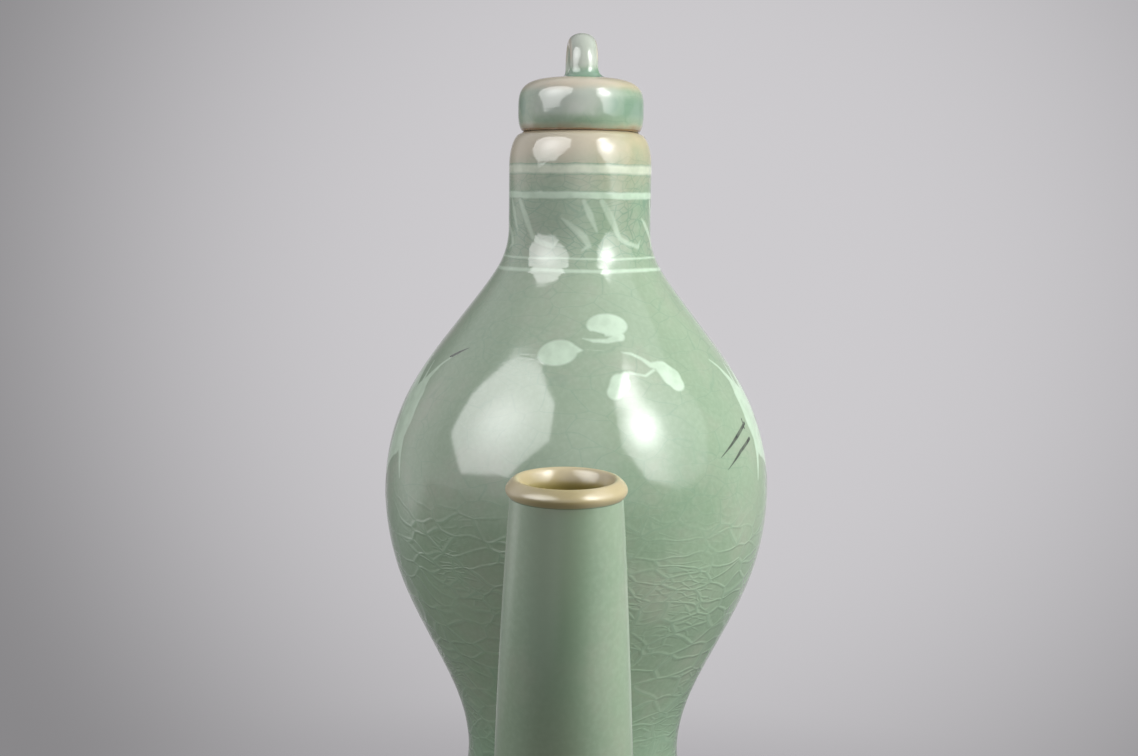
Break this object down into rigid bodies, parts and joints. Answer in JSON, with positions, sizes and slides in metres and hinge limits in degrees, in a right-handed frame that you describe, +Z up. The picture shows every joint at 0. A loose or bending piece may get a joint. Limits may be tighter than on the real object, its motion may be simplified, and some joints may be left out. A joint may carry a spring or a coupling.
{
  "type": "double gourd ewer",
  "caption": "Double gourd stoneware ewer with crackled celadon glaze, white slip inlay, a tall curved spout, a strap handle and a lift-off lid with a cord loop.",
  "frame": {"origin": "centre of the foot ring's underside, on the ewer's turning axis", "axes": "+Z up the ewer's axis, -Y towards the spout, +Y towards the handle, +X to the right when the spout faces the viewer"},
  "size_m": [0.1438, 0.2427, 0.3225],
  "materials": {
    "celadon": "glossy crackled grey-green glaze",
    "brown_glaze": "glossy olive-brown glaze",
    "white_slip": "white slip under the glaze",
    "bare_clay": "unglazed buff-brown stoneware"
  },
  "bodies": {
    "vessel": {"foot_ring": "bare_clay", "lower_bulb": "celadon", "upper_bulb": "celadon", "neck_band_upper": "white_slip", "neck_band_lower": "white_slip", "shoulder_line_upper": "white_slip", "shoulder_line_lower": "white_slip", "cloud_inlay": "white_slip", "crane_inlay_left": "white_slip", "crane_inlay_right": "white_slip", "spout": "celadon", "handle": "celadon", "handle_loop": "celadon"},
    "lid": {"lid_cap": "celadon", "lid_flange": "bare_clay", "lid_loop": "brown_glaze"}
  },
  "joints": [
    {"name": "lid_lift", "type": "slide", "parent": "vessel", "child": "lid", "axis": [0, 0, 1], "range_m": [0, 0.08]}
  ]
}
